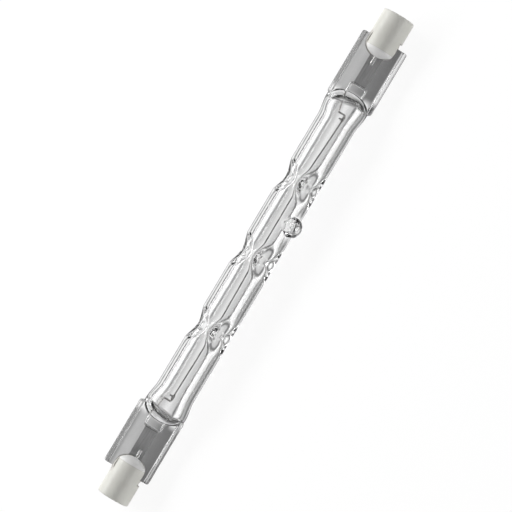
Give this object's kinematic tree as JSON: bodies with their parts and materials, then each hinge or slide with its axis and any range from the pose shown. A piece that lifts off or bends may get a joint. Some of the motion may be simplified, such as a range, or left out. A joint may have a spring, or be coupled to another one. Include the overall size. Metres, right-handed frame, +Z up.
{
  "type": "linear halogen bulb",
  "caption": "Double-ended linear halogen lamp: crimped clear quartz tube with flat pressed ends, coiled filament, sealed foils and recessed-contact ceramic caps.",
  "frame": {"origin": "on the surface that the lamp lies on, below the middle of its bounding box", "axes": "+X along the lamp, +Z up as it lies at rest on its tube and the edge of one pressed end; -Y is the side of the exhaust pip"},
  "size_m": [0.1176, 0.0124, 0.0088],
  "materials": {
    "quartz": "clear, fire polished, faintly wavy where it was pressed",
    "filament_tungsten": "dull grey fine coil",
    "molybdenum_foil": "satin thin foil",
    "tungsten_wire": "drawn wire, grey",
    "molybdenum_rod": "drawn rod, grey",
    "steatite": "fired steatite, satin, off white",
    "contact_metal": "turned, nickel plated",
    "cap_cement": "matte dried cement"
  },
  "bodies": {
    "root": {"quartz_envelope": "quartz", "filament": "filament_tungsten", "foil_left": "molybdenum_foil", "foil_right": "molybdenum_foil", "inner_lead_left": "tungsten_wire", "inner_lead_right": "tungsten_wire", "outer_lead_left": "molybdenum_rod", "outer_lead_right": "molybdenum_rod", "ceramic_cap_left": "steatite", "ceramic_cap_right": "steatite", "contact_left": "contact_metal", "contact_right": "contact_metal", "cement_left": "cap_cement", "cement_right": "cap_cement"}
  },
  "joints": []
}
